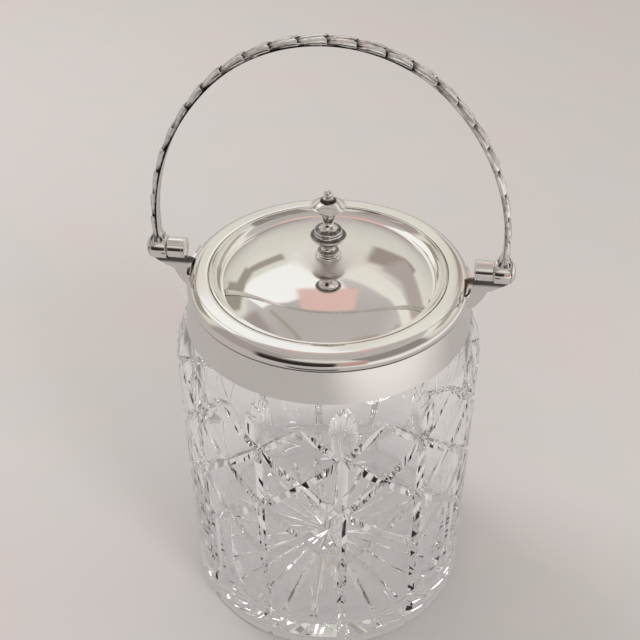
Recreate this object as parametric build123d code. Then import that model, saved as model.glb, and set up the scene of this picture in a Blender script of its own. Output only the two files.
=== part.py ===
"""Silver-mounted cut-glass biscuit jar with a lift-off lid and a swing handle.

Millimetres, +Z up.  The origin is the middle of the foot on the table, and X
runs along the handle's pivot line.  Every height is built up from the table.
"""
import os
from math import acos, asin, cos, degrees, radians, sin, sqrt, tan

from build123d import *

os.makedirs("parts", exist_ok=True)

# ---------------------------------------------------------------- glass jar
jar_radius = 60.5            # outside of the plain cylinder
jar_wall = 5.5
body_height = 119.8          # table to the start of the round shoulder
shoulder_round = 24.0        # radius of the shoulder in section
neck_set_in = 9.5            # outside of the neck in from the cylinder
neck_wall = 5.0
neck_height = 9.9            # end of the shoulder to the ground lip
floor_thickness = 9.0
floor_round = 6.0            # inside corner between floor and wall
foot_bevel = 1.2
foot_ring_width = 7.0        # ground ring that the jar stands on
foot_hollow = 1.2            # how far the star-cut base clears the table

# ------------------------------------------------------ cutting on the glass
panels = 12                  # upright mitre cuts round the jar
pattern_turn = 12.7          # degrees from the front (-Y) towards +X to one upright cut
mitre_angle = 90.0           # angle of the V that the mitre wheel leaves
upright_depth = 1.9
diagonal_depth = 1.4
diagonal_rows = 5            # each row crosses half a panel
row_step = 14.5              # height of one row
crossing_drop = 7.3          # top crossings below the start of the shoulder
mitre_runout = 6.0           # length over which a cut rises out of the glass
mitre_overrun = 0.8          # how far each diagonal cut runs past its crossings
olive_length_up = 21.5       # height of the oval cut above each upright mitre
olive_wheel_radius = 8.6     # section radius of the wheel that cut the ovals
star_rays = 24
star_radius = 49.0
star_depth = 1.6

# ------------------------------------------------------------ silver collar
sheet = 1.0                  # gauge of the collar and lid
bezel_sheet = 0.8
mouth_inset = 0.2            # edge of the flange's opening inside the glass bore
flange_overhang = 3.0        # rounded rim outside the glass neck
rim_round = 4.4              # section radius of the rounded rim
rim_tuck = 1.6               # how far the rounded rim curls below its centre
waist_step = 0.8             # set-back of the collar under the rounded rim
collar_depth = 19.2          # flange to the lower edge of the collar
collar_glass_gap = 0.2
lip_bed = 1.6                # cement between the glass lip and the bezel
seat_width = 3.4             # ledge that the lid rests on
lining_gap = 0.4             # cement between the bezel's lining and the glass
lining_depth = 15.0
cement_foot_gap = 4.7        # lower edge of the collar up to the cement
cement_lining_gap = 3.0      # lower edge of the lining up to the cement

# ---------------------------------------------------------------------- lid
lid_gap = 0.3                # round the lid's edge
lid_lip = 0.7                # narrow flat at the lid's edge
lid_recess_width = 3.5       # hollow moulding between the edge and the dome
lid_recess_depth = 2.8
lid_floor = 1.0              # metal under the hollow moulding
dome_top = 6.0               # above the flange
dome_seat_radius = 5.2       # flat under the finial
skirt_gap = 0.5
skirt_thickness = 0.8
skirt_depth = 8.2

# ------------------------------------------------------------------- finial
finial_base_radius = 4.8
finial_base_height = 1.2
finial_groove_height = 0.9
finial_groove_radius = 3.2
finial_small_ring_radius = 4.1
finial_small_ring_thickness = 0.8
finial_lower_neck_radius = 2.4
finial_lower_neck_height = 2.1
finial_cup_height = 3.5      # cup that swells out to the large ring
finial_ring_radius = 6.8
finial_ring_thickness = 1.2
finial_collar_radius = 5.2
finial_collar_height = 2.4
finial_upper_neck_radius = 1.95
finial_upper_neck_height = 3.1
finial_bell_height = 6.0     # bell that swells out to the cap
finial_cap_radius = 6.6
finial_cap_thickness = 1.0
finial_button_radius = 3.1
finial_button_rise = 1.7     # foot of the button above the cap's edge
finial_bead_radius = 1.7
finial_bead_rise = 4.7       # centre of the bead above the cap's edge
finial_edge = 0.5            # how far the ring edges are rounded in
stud_radius = 1.25
stud_clearance = 0.15
stud_in_finial = 6.0
stud_below_lid = 3.8
washer_radius = 3.6
washer_thickness = 0.6
nut_across_flats = 5.0
nut_thickness = 2.2

# ------------------------------------------------------- pivots and brackets
pivot_rise = 4.5             # pivot line above the flange
fixed_knuckle_radius = 4.0
fixed_knuckle_length = 7.1
handle_knuckle_radius = 4.5
handle_knuckle_length = 6.2
knuckle_gap = 0.2            # between the two knuckles, seen as a fine dark line
pin_radius = 1.5
pin_running_fit = 0.05
pin_head_radius = 4.2
pin_head_height = 1.8
pin_head_gap = 0.1
knuckle_rim_gap = 0.9        # inner end of the fixed knuckle outside the rim
plate_thickness = 0.8        # bracket plate that hugs the collar
plate_half_width = 10.0
plate_ear_drop = 1.0         # top of the plate's two ears below the flange
plate_middle_drop = 2.8      # top of the plate between its ears
plate_widest_drop = 4.2
plate_depth = 14.0
web_thickness = 1.4
web_gap = 0.4                # under the moving knuckle
web_toe_out = 1.2            # lower end of the web, out from the rim
web_toe_drop = 13.6
web_notch_out = 6.6          # corner between the web's arm and its rounded foot
web_notch_drop = 4.9
web_arm_sag = 0.35           # how far the arm's lower edge bows
web_foot_belly = 0.65        # how far the foot's edge bows outwards

# ------------------------------------------------------------------- handle
handle_side_radius = 84.3
handle_side_angle = 44.0     # degrees of side arc before the crown arc takes over
handle_leg_rise = 9.5        # straight leg above the pivot line
strap_width = 6.2
strap_thickness = 1.4
leaf_count = 24
first_leaf_gap = 1.0         # leaves start this far off the knuckles
leaf_base_lift = 0.3        # leaves start this far above the smooth inner face
leaf_root_height = 1.6       # leaf where it comes out from under the last one
leaf_tip_height = 2.6
leaf_root_width = 5.2
leaf_tip_width = 6.4

# ------------------------------------------------------------ derived places
neck_radius = jar_radius - neck_set_in
neck_bore = neck_radius - neck_wall
shoulder_centre = jar_radius - shoulder_round
neck_root = body_height + sqrt(shoulder_round**2 - (neck_radius - shoulder_centre)**2)
glass_height = neck_root + neck_height
first_crossing = body_height - crossing_drop
mouth_radius = neck_bore - mouth_inset
flange_radius = neck_radius + flange_overhang
seat_bore = mouth_radius - seat_width
seat_top = glass_height + lip_bed + bezel_sheet
flange_top = seat_top + lid_recess_depth + lid_floor
rim_centre_radius = flange_radius - rim_round
rim_centre_height = flange_top - rim_round
waist_height = rim_centre_height - rim_tuck
rim_edge_radius = rim_centre_radius + sqrt(rim_round**2 - rim_tuck**2)
waist_radius = rim_edge_radius - waist_step
collar_foot = flange_top - collar_depth
lid_radius = mouth_radius - lid_gap
lid_underside = seat_top
pivot_height = flange_top + pivot_rise
knuckle_start = flange_radius + knuckle_rim_gap
knuckle_split = knuckle_start + fixed_knuckle_length
handle_knuckle_start = knuckle_split + knuckle_gap
handle_knuckle_end = handle_knuckle_start + handle_knuckle_length
handle_half_span = handle_knuckle_start + handle_knuckle_length / 2
arch_height = pivot_height + handle_leg_rise


def shoulder_radius_at(height):
    """Outside radius of the glass at a height on its straight side or shoulder."""
    above = max(0.0, height - body_height)
    return shoulder_centre + sqrt(shoulder_round**2 - above**2)


collar_foot_radius = shoulder_radius_at(collar_foot) + collar_glass_gap + sheet


# ------------------------------------------------------------------- helpers
def outline(start, *steps):
    """Closed run of edges in the XZ plane; a step is (r, z) or a (via, end) arc."""
    edges = []
    here = start
    for step in steps + (start,):
        if isinstance(step[0], tuple):
            via, end = step
            edges.append(ThreePointArc(*[(p[0], 0, p[1]) for p in (here, via, end)]))
        else:
            end = step
            if abs(end[0] - here[0]) + abs(end[1] - here[1]) > 1e-6:
                edges.append(Line((here[0], 0, here[1]), (end[0], 0, end[1])))
        here = end
    return edges


def lathe(start, *steps):
    """Solid turned about Z from an outline."""
    return revolve(make_face(outline(start, *steps)), axis=Axis.Z)


def on_circle(centre, radius, angle):
    return (centre[0] + radius * cos(radians(angle)), centre[1] + radius * sin(radians(angle)))


def rod_along_x(radius, start, end, height):
    """Cylinder along +X."""
    return Plane((start, 0, height), x_dir=(0, 1, 0), z_dir=(1, 0, 0)) * extrude(
        Circle(radius), end - start
    )


def mirrored(shape):
    """The same piece on the left side."""
    return mirror(shape, about=Plane.YZ)


# ----------------------------------------------------------------- glass jar
def glass_blank():
    """The blown blank with its ground foot and lip, before it is cut."""
    inner_round = shoulder_round - jar_wall
    inner_radius = jar_radius - jar_wall
    centre = (shoulder_centre, body_height)
    neck_angle = degrees(acos((neck_radius - centre[0]) / shoulder_round))
    bore_angle = degrees(acos((neck_bore - centre[0]) / inner_round))
    ring_inside = jar_radius - foot_bevel - foot_ring_width
    corner = (inner_radius - floor_round, floor_thickness + floor_round)
    return lathe(
        (0, foot_hollow),
        (ring_inside, foot_hollow),
        (ring_inside + foot_hollow, 0),
        (jar_radius - foot_bevel, 0),
        (jar_radius, foot_bevel),
        (jar_radius, body_height),
        (on_circle(centre, shoulder_round, neck_angle / 2),
         on_circle(centre, shoulder_round, neck_angle)),
        (neck_radius, glass_height),
        (neck_bore, glass_height),
        on_circle(centre, inner_round, bore_angle),
        (on_circle(centre, inner_round, bore_angle / 2), (inner_radius, body_height)),
        (inner_radius, corner[1]),
        (on_circle(corner, floor_round, -45), (corner[0], floor_thickness)),
        (0, floor_thickness),
    )


def glass_point(turn, height, depth):
    """Point under the glass surface; turn is in degrees from the front towards +X."""
    radius = shoulder_radius_at(height) - depth
    return Vector(radius * sin(radians(turn)), -radius * cos(radians(turn)), height)


def mitre(start, end, overrun):
    """Three-sided bar for one straight V cut; its keel runs from start to end."""
    keel = end - start
    middle = (start + end) / 2
    radial = Vector(middle.X, middle.Y, 0).normalized()
    along = keel.normalized()
    outward = (radial - along * radial.dot(along)).normalized()
    reach = jar_wall
    half_width = reach * tan(radians(mitre_angle / 2))
    section = Plane(middle, x_dir=outward.cross(along), z_dir=along)
    wedge = section * make_face(Polyline((0, 0), (half_width, reach), (-half_width, reach), close=True))
    return extrude(wedge, keel.length / 2 + overrun, both=True)


def upright_cuts(turn):
    """One upright mitre, its run-out, and the oval cut above it."""
    below = glass_point(turn, -foot_bevel, upright_depth)
    top = glass_point(turn, first_crossing, upright_depth)
    out = glass_point(turn, first_crossing + mitre_runout, 0)
    low = glass_point(turn, first_crossing, 0)
    high = glass_point(turn, first_crossing + olive_length_up, 0)
    lean = (high - low).normalized()
    radial = Vector(sin(radians(turn)), -cos(radians(turn)), 0)
    outward = (radial - lean * radial.dot(lean)).normalized()
    olive_axis = Plane(low + outward * olive_wheel_radius, z_dir=lean)
    olive = olive_axis * Cylinder(
        olive_wheel_radius, (high - low).length,
        align=(Align.CENTER, Align.CENTER, Align.MIN)
    )
    return [mitre(below, top, 0), mitre(top, out, 0), olive]


def diagonal_cuts(turn):
    """The two runs of diagonal mitres that wind down both ways from one mid-panel apex."""
    half_panel = 180 / panels
    bars = []
    for way in (-1, 1):
        for row in range(diagonal_rows):
            upper = first_crossing + row_step * (1 - row)
            start_depth = 0 if row == 0 else diagonal_depth
            start = glass_point(turn + way * half_panel * row, upper, start_depth)
            end = glass_point(turn + way * half_panel * (row + 1), upper - row_step, diagonal_depth)
            bars.append(mitre(start, end, mitre_overrun))
    return bars


def star_cuts():
    """Mitres across the underside that make the star; each bar cuts two rays."""
    half_width = (star_depth + foot_hollow) * tan(radians(mitre_angle / 2))
    wedge = make_face(Polyline(
        (0, foot_hollow + star_depth), (half_width, 0), (-half_width, 0), close=True))
    bar = extrude(Plane.XZ * wedge, star_radius, both=True)
    return [Rot(0, 0, 360 * ray / star_rays) * bar for ray in range(star_rays // 2)]


def make_glass_jar():
    cutters = star_cuts()
    for panel in range(panels):
        turn = pattern_turn + 360 * panel / panels
        cutters += upright_cuts(turn)
        cutters += diagonal_cuts(turn + 180 / panels)
    return glass_blank() - cutters


# ------------------------------------------------------------- silver collar
def rim_arc(extra):
    """The rounded rim from its lower edge over to the flat, this far outside the silver."""
    centre = (rim_centre_radius, rim_centre_height)
    radius = rim_round + extra
    low = -degrees(asin(rim_tuck / radius))
    return (on_circle(centre, radius, low), on_circle(centre, radius, 45 + low / 2),
            (centre[0], centre[1] + radius))


def make_collar_mount():
    low, via, high = rim_arc(0)
    inside = rim_round - sheet
    centre = (rim_centre_radius, rim_centre_height)
    return lathe(
        (collar_foot_radius, collar_foot),
        (waist_radius, waist_height),
        low,
        (via, high),
        (mouth_radius, flange_top),
        (mouth_radius, flange_top - sheet),
        (rim_centre_radius, flange_top - sheet),
        (on_circle(centre, inside, 45), on_circle(centre, inside, 0)),
        (waist_radius - sheet, waist_height),
        (collar_foot_radius - sheet, collar_foot),
    )


def make_neck_bezel():
    """Angle ring soldered under the flange: the lid's ledge and a lining down the neck."""
    lining_radius = neck_bore - lining_gap
    ledge_under = seat_top - bezel_sheet
    band = mouth_radius + bezel_sheet
    return lathe(
        (mouth_radius, flange_top - sheet),
        (band, flange_top - sheet),
        (band, ledge_under),
        (lining_radius, ledge_under),
        (lining_radius, flange_top - lining_depth),
        (lining_radius - bezel_sheet, flange_top - lining_depth),
        (lining_radius - bezel_sheet, ledge_under),
        (seat_bore, ledge_under),
        (seat_bore, seat_top),
        (mouth_radius, seat_top),
    )


def make_cement_ring():
    """Plaster that fills the collar round the neck and beds the bezel on the lip."""
    lining_radius = neck_bore - lining_gap
    band = mouth_radius + bezel_sheet
    centre = (rim_centre_radius, rim_centre_height)
    inside = rim_round - sheet
    foot = collar_foot + cement_foot_gap
    lining_foot = flange_top - lining_depth + cement_lining_gap
    share = (waist_height - foot) / (waist_height - collar_foot)
    foot_radius = waist_radius - sheet + share * (collar_foot_radius - waist_radius)
    fill = lathe(
        (band, flange_top - sheet),
        (rim_centre_radius, flange_top - sheet),
        (on_circle(centre, inside, 45), on_circle(centre, inside, 0)),
        (waist_radius - sheet, waist_height),
        (foot_radius, foot),
        (neck_bore, foot),
        (neck_bore, lining_foot),
        (lining_radius, lining_foot),
        (lining_radius, seat_top - bezel_sheet),
        (band, seat_top - bezel_sheet),
    )
    return fill - glass_blank()


# ----------------------------------------------------------------------- lid
def make_lid_plate():
    """Spun lid: solid rim, hollow moulding, then a low dome with a seat for the finial."""
    lip = lid_radius - lid_lip
    dome_radius = lip - lid_recess_width
    recess = flange_top - lid_recess_depth
    top = flange_top + dome_top
    cove = lid_recess_width * 0.35
    rise = top - recess
    run = dome_radius - dome_seat_radius
    sphere = (rise**2 + run**2) / (2 * rise)
    swing = degrees(asin(run / sphere))
    centre = (dome_seat_radius, top - sphere)
    under = sphere - sheet
    under_swing = swing * (dome_radius - sheet - dome_seat_radius) / run
    half_mid = 90 - under_swing / 2
    return lathe(
        (stud_radius + stud_clearance, top),
        (dome_seat_radius, top),
        (on_circle(centre, sphere, 90 - swing / 2), (dome_radius, recess)),
        ((dome_radius + cove * 1.4, recess + lid_recess_depth * 0.22), (lip, flange_top)),
        (lid_radius, flange_top),
        (lid_radius, lid_underside),
        on_circle(centre, under, 90 - under_swing),
        (on_circle(centre, under, half_mid), (dome_seat_radius, top - sheet)),
        (stud_radius + stud_clearance, top - sheet),
    )


def make_lid_skirt():
    outside = seat_bore - skirt_gap
    inside = outside - skirt_thickness
    return lathe(
        (inside, lid_underside),
        (outside, lid_underside),
        (outside, lid_underside - skirt_depth),
        (inside, lid_underside - skirt_depth),
    )


# -------------------------------------------------------------------- finial
finial_foot = flange_top + dome_top


def make_finial():
    """Turned finial: two rings, a bell-shaped cap, a button and a bead on top."""
    base = finial_foot + finial_base_height
    groove = base + finial_groove_height
    small_ring = groove + finial_small_ring_thickness
    lower_neck = small_ring + finial_lower_neck_height
    cup = lower_neck + finial_cup_height
    ring = cup + finial_ring_thickness
    collar = ring + finial_collar_height
    upper_neck = collar + finial_upper_neck_height
    bell = upper_neck + finial_bell_height
    cap = bell + finial_cap_thickness
    bead_centre = (0, cap + finial_bead_rise)
    bead_neck = on_circle(bead_centre, finial_bead_radius, -58)
    small_edge = finial_small_ring_radius - finial_edge
    ring_edge = finial_ring_radius - finial_edge
    collar_edge = finial_collar_radius - finial_edge
    cap_edge = finial_cap_radius - finial_edge
    cup_swell = (ring_edge - finial_lower_neck_radius) * 0.54
    neck_swell = (collar_edge - finial_upper_neck_radius) * 0.25
    bell_swell = (cap_edge - finial_upper_neck_radius) * 0.28
    return lathe(
        (stud_radius, finial_foot),
        (finial_base_radius, finial_foot),
        ((finial_base_radius + finial_edge / 2, (finial_foot + base) / 2),
         (finial_base_radius - finial_edge / 2, base)),
        ((finial_groove_radius, (base + groove) / 2), (small_edge, groove)),
        ((finial_small_ring_radius, (groove + small_ring) / 2), (small_edge, small_ring)),
        ((finial_lower_neck_radius, small_ring + finial_lower_neck_height * 0.43),
         (finial_lower_neck_radius, lower_neck)),
        ((finial_lower_neck_radius + cup_swell, lower_neck + finial_cup_height * 0.4),
         (ring_edge, cup)),
        ((finial_ring_radius, (cup + ring) / 2), (ring_edge, ring)),
        (collar_edge, ring + finial_collar_height * 0.2),
        (finial_collar_radius, ring + finial_collar_height * 0.65),
        (collar_edge, collar),
        ((finial_upper_neck_radius + neck_swell, collar + finial_upper_neck_height * 0.33),
         (finial_upper_neck_radius, upper_neck)),
        ((finial_upper_neck_radius + bell_swell, upper_neck + finial_bell_height / 2),
         (cap_edge, bell)),
        ((finial_cap_radius, (bell + cap) / 2), (cap_edge, cap)),
        (finial_button_radius, cap + finial_button_rise),
        ((finial_button_radius * 0.8, (cap + finial_button_rise + bead_neck[1]) / 2 + 0.3), bead_neck),
        (on_circle(bead_centre, finial_bead_radius, 16),
         on_circle(bead_centre, finial_bead_radius, 90)),
        (0, finial_foot + stud_in_finial),
        (stud_radius, finial_foot + stud_in_finial),
    )


def make_finial_stud():
    low = finial_foot - sheet - stud_below_lid
    return Pos(0, 0, low) * Cylinder(
        stud_radius, finial_foot + stud_in_finial - low,
        align=(Align.CENTER, Align.CENTER, Align.MIN))


def make_finial_washer():
    low = finial_foot - sheet - washer_thickness
    disc = Circle(washer_radius) - Circle(stud_radius + stud_clearance)
    return Pos(0, 0, low) * extrude(disc, washer_thickness)


def make_finial_nut():
    low = finial_foot - sheet - washer_thickness - nut_thickness
    hexagon = RegularPolygon(nut_across_flats / 2, 6, major_radius=False) - Circle(stud_radius)
    return Pos(0, 0, low) * extrude(hexagon, nut_thickness)


# ------------------------------------------------------ pivots and brackets
def collar_filled(extra):
    """Everything inside the collar's outer surface, this much thicker all round."""
    low, via, high = rim_arc(extra)
    return lathe(
        (0, collar_foot),
        (collar_foot_radius + extra, collar_foot),
        (waist_radius + extra, waist_height - extra),
        low,
        (via, high),
        (0, high[1]),
    )


def make_bracket_plate():
    """Shield-shaped plate soldered over the rim and side of the collar."""
    ear = flange_top - plate_ear_drop
    shield = make_face([
        ThreePointArc((-plate_half_width, ear), (0, flange_top - plate_middle_drop),
                      (plate_half_width, ear)),
        ThreePointArc((plate_half_width, ear),
                      (plate_half_width * 0.95, flange_top - plate_widest_drop),
                      (plate_half_width * 0.72, flange_top - plate_depth * 0.58)),
        Line((plate_half_width * 0.72, flange_top - plate_depth * 0.58),
             (0, flange_top - plate_depth)),
        Line((0, flange_top - plate_depth),
             (-plate_half_width * 0.72, flange_top - plate_depth * 0.58)),
        ThreePointArc((-plate_half_width * 0.72, flange_top - plate_depth * 0.58),
                      (-plate_half_width * 0.95, flange_top - plate_widest_drop),
                      (-plate_half_width, ear)),
    ])
    stencil = extrude(Plane((0, 0, 0), x_dir=(0, 1, 0), z_dir=(1, 0, 0)) * shield,
                      flange_radius * 2)
    return (collar_filled(plate_thickness) & stencil) - collar_filled(0)


def bowed(start, end, bow):
    """Arc step to end, its middle this far to the left of the straight line from start."""
    run = (end[0] - start[0], end[1] - start[1])
    share = bow / sqrt(run[0]**2 + run[1]**2)
    middle = ((start[0] + end[0]) / 2 - run[1] * share, (start[1] + end[1]) / 2 + run[0] * share)
    return middle, end


def make_bracket_web():
    """Upright web from the plate out under both knuckles: a tapered arm on a rounded foot."""
    arm_top = pivot_height - handle_knuckle_radius - web_gap
    tip = (handle_knuckle_end, arm_top)
    notch = (flange_radius + web_notch_out, flange_top - web_notch_drop)
    toe = (flange_radius + web_toe_out, flange_top - web_toe_drop)
    web = extrude(make_face(outline(
        (rim_centre_radius, pivot_height),
        (knuckle_split, pivot_height),
        (knuckle_split, arm_top),
        tip,
        bowed(tip, notch, web_arm_sag),
        bowed(notch, toe, web_foot_belly),
        (rim_centre_radius, toe[1]),
    )), web_thickness / 2, both=True)
    knuckle = rod_along_x(fixed_knuckle_radius, 0, knuckle_split, pivot_height)
    return web - knuckle - collar_filled(plate_thickness)


def make_fixed_knuckle():
    return (rod_along_x(fixed_knuckle_radius, knuckle_start, knuckle_split, pivot_height)
            - rod_along_x(pin_radius, 0, flange_radius * 2, pivot_height))


def make_handle_knuckle():
    bore = pin_radius + pin_running_fit
    return (rod_along_x(handle_knuckle_radius, handle_knuckle_start, handle_knuckle_end, pivot_height)
            - rod_along_x(bore, 0, flange_radius * 2, pivot_height))


def make_pivot_pin():
    """Rivet pin through both knuckles with a domed head at its outer end."""
    head = handle_knuckle_end + pin_head_gap
    section = make_face([
        Line((knuckle_start, 0), (head, 0)),
        Line((head, 0), (head + pin_head_height, 0)),
        ThreePointArc((head + pin_head_height, 0),
                      (head + pin_head_height * 0.72, pin_head_radius * 0.62),
                      (head, pin_head_radius)),
        Line((head, pin_head_radius), (head, pin_radius)),
        Line((head, pin_radius), (knuckle_start, pin_radius)),
        Line((knuckle_start, pin_radius), (knuckle_start, 0)),
    ])
    return Pos(0, 0, pivot_height) * revolve(section, axis=Axis.X)


# -------------------------------------------------------------------- handle
side_centre = handle_half_span - handle_side_radius
crown_height = arch_height - side_centre * tan(radians(handle_side_angle))
crown_radius = handle_side_radius + side_centre / cos(radians(handle_side_angle))


def arch_point(travel):
    """Point on the handle's line and its outward direction, this far from the left pivot."""
    side_run = radians(handle_side_angle) * handle_side_radius
    crown_run = radians(90 - handle_side_angle) * crown_radius
    half = handle_leg_rise + side_run + crown_run
    left = travel <= half
    along = travel if left else 2 * half - travel
    if along <= handle_leg_rise:
        x, z, out = handle_half_span, pivot_height + along, 0.0
    elif along <= handle_leg_rise + side_run:
        out = (along - handle_leg_rise) / handle_side_radius
        x = side_centre + handle_side_radius * cos(out)
        z = arch_height + handle_side_radius * sin(out)
    else:
        out = radians(handle_side_angle) + (along - handle_leg_rise - side_run) / crown_radius
        x = crown_radius * cos(out)
        z = crown_height + crown_radius * sin(out)
    way = -1 if left else 1
    return Vector(way * x, 0, z), Vector(way * cos(out), 0, sin(out)), 2 * half


def leaf_section(travel, base, width, height):
    """Half-oval across the handle, its flat side down on the strap."""
    point, outward, _ = arch_point(travel)
    along = Vector(outward.Z, 0, -outward.X)
    place = Plane(point + outward * base, x_dir=(0, 1, 0), z_dir=along)
    side = 1 if (place.y_dir - outward).length < 1 else -1
    return place * make_face([
        Line((-width / 2, 0), (width / 2, 0)),
        Line((width / 2, 0), (width / 2, side * height * 0.35)),
        ThreePointArc((width / 2, side * height * 0.35), (0, side * height),
                      (-width / 2, side * height * 0.35)),
        Line((-width / 2, side * height * 0.35), (-width / 2, 0)),
    ])


def make_handle_strap():
    """Flat strap bent to a tall arch, its outside chased as overlapping leaves."""
    _, _, length = arch_point(0)
    start, _, _ = arch_point(0)
    leg_top = Vector(-handle_half_span, 0, arch_height)
    shift, _, _ = arch_point(handle_leg_rise + radians(handle_side_angle) * handle_side_radius)
    side_mid, _, _ = arch_point(handle_leg_rise + radians(handle_side_angle) * handle_side_radius / 2)
    crown, _, _ = arch_point(length / 2)

    def right(point):
        return Vector(-point.X, 0, point.Z)

    path = Wire([
        Edge.make_line(start, leg_top),
        Edge.make_three_point_arc(leg_top, side_mid, shift),
        Edge.make_three_point_arc(shift, crown, right(shift)),
        Edge.make_three_point_arc(right(shift), right(side_mid), right(leg_top)),
        Edge.make_line(right(leg_top), right(start)),
    ])
    section = Plane(start, x_dir=(1, 0, 0), z_dir=(0, 0, 1)) * Rectangle(strap_thickness, strap_width)
    strap = sweep(section, path=path)
    first = handle_knuckle_radius + first_leaf_gap
    pitch = (length - 2 * first) / leaf_count
    base = -strap_thickness / 2 + leaf_base_lift
    leaves = []
    for leaf in range(leaf_count):
        root = leaf_section(first + pitch * leaf, base, leaf_root_width, leaf_root_height)
        tip = leaf_section(first + pitch * (leaf + 1), base, leaf_tip_width, leaf_tip_height)
        leaves.append(loft([root, tip]))
    handle = strap + leaves
    for side in (-1, 1):
        knuckle = rod_along_x(handle_knuckle_radius, handle_knuckle_start, handle_knuckle_end,
                              pivot_height)
        handle -= knuckle if side > 0 else mirrored(knuckle)
    return handle


# -------------------------------------------------------------------- output
pieces = {
    "glass_jar": make_glass_jar(),
    "cement_ring": make_cement_ring(),
    "collar_mount": make_collar_mount(),
    "neck_bezel": make_neck_bezel(),
    "lid_plate": make_lid_plate(),
    "lid_skirt": make_lid_skirt(),
    "finial": make_finial(),
    "finial_stud": make_finial_stud(),
    "finial_washer": make_finial_washer(),
    "finial_nut": make_finial_nut(),
    "handle_strap": make_handle_strap(),
}
for name, make in (
    ("bracket_plate", make_bracket_plate),
    ("bracket_web", make_bracket_web),
    ("fixed_knuckle", make_fixed_knuckle),
    ("pivot_pin", make_pivot_pin),
    ("handle_knuckle", make_handle_knuckle),
):
    piece = make()
    pieces["right_" + name] = piece
    pieces["left_" + name] = mirrored(piece)

for name, piece in pieces.items():
    export_step(piece, f"parts/{name}.step")
    print(f"{name}: {len(piece.solids())} solid(s), {piece.volume:.1f} mm3")
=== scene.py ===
"""Cut-glass biscuit jar with a silver mount, lid and swing handle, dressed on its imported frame.

Sizes are in millimetres and become metres as each piece is made.  +Z is up, the origin is
the middle of the foot, and X runs along the handle's pivot line.
"""
from math import acos, asin, atan2, cos, degrees, exp, hypot, pi, radians, sin, sqrt, tan

import bpy
from mathutils import Matrix, Vector


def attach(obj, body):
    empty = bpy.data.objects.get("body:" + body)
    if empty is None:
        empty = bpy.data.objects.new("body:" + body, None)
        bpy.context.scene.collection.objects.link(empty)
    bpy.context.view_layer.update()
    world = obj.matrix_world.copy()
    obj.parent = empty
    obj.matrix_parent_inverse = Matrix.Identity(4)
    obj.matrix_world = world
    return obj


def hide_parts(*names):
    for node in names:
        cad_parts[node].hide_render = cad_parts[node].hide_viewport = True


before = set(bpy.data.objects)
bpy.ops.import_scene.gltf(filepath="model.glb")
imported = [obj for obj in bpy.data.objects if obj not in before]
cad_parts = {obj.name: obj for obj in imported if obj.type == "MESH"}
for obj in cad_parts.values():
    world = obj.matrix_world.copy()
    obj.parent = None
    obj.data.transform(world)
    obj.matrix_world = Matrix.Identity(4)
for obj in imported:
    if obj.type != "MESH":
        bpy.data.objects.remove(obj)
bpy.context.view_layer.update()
MM = 0.001

# ------------------------------------------------------------------ jar sizes
jar_radius = 60.5
jar_wall = 5.5
body_height = 119.8
shoulder_round = 24.0
neck_radius = 51.0
neck_wall = 5.0
neck_height = 9.9
floor_thickness = 9.0
floor_round = 6.0
foot_bevel = 1.2
foot_ring_width = 7.0
foot_hollow = 1.2
panels = 12
pattern_turn = 12.7
upright_depth = 1.9
diagonal_depth = 1.4
diagonal_rows = 5
row_step = 14.5
crossing_drop = 7.3
mitre_runout = 6.0
mitre_overrun = 0.8
olive_length_up = 21.5
olive_wheel_radius = 8.6
star_rays = 24
star_radius = 49.0
star_depth = 1.6

# --------------------------------------------------------------- collar sizes
sheet = 1.0
mouth_inset = 0.2
flange_overhang = 3.0
rim_round = 4.4
rim_ease_turn = 72.0
rim_ease_radius = 47.2
rim_tuck = 1.6
waist_step = 0.8
collar_depth = 19.2
collar_glass_gap = 0.2
edge_round = 0.25
lip_bed = 1.6
bezel_sheet = 0.8

# ------------------------------------------------------------------ lid sizes
lid_gap = 0.3
lid_lip = 0.7
lid_recess_width = 3.5
lid_recess_depth = 2.8
lid_floor = 1.0
lid_seat_gap = 0.1
dome_top = 6.0
dome_seat_radius = 5.2
dome_crown_round = 100.0
dome_knee_radius = 30.0
stud_radius = 1.25
stud_clearance = 0.15
stud_in_finial = 6.0

# --------------------------------------------------------------- finial sizes
finial_base_radius = 4.8
finial_base_height = 1.2
finial_groove_height = 0.9
finial_groove_radius = 3.2
finial_small_ring_radius = 4.1
finial_small_ring_thickness = 0.8
finial_lower_neck_radius = 2.4
finial_lower_neck_height = 2.1
finial_cup_height = 3.5
finial_ring_radius = 6.8
finial_ring_thickness = 1.2
finial_collar_radius = 5.2
finial_collar_height = 2.4
finial_upper_neck_radius = 1.95
finial_upper_neck_height = 3.1
finial_bell_height = 6.0
finial_cap_radius = 6.6
finial_cap_thickness = 1.0
finial_button_radius = 3.1
finial_button_rise = 1.7
finial_bead_radius = 1.7
finial_bead_rise = 4.7
finial_edge = 0.5

# ---------------------------------------------------- pivot and handle sizes
pivot_rise = 4.5
fixed_knuckle_radius = 4.0
fixed_knuckle_length = 7.1
handle_knuckle_radius = 4.5
handle_knuckle_length = 6.2
knuckle_gap = 0.2
knuckle_rim_gap = 0.9
pin_radius = 1.5
pin_running_fit = 0.05
pin_head_radius = 4.2
pin_head_height = 1.8
pin_head_edge = 0.3
pin_head_gap = 0.1
web_thickness = 1.4
web_gap = 0.4
web_toe_out = 1.2
web_toe_drop = 13.6
web_notch_out = 6.6
web_notch_drop = 4.9
web_arm_sag = 0.35
web_foot_belly = 0.65
web_in_knuckle = 0.6
web_in_rim = 1
web_over_flange = 0.2
web_top_out = 1.2
web_toe_rise = 0.5
web_edge_bevel = 0.3
handle_side_radius = 84.3
handle_side_angle = 44.0
handle_leg_rise = 9.5
strap_width = 6.2
strap_thickness = 1.4
strap_side_inset = 0.15
strap_end_inset = 0.7
strap_edge_round = 0.35
leaf_count = 24
first_leaf_gap = 1.0
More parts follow.
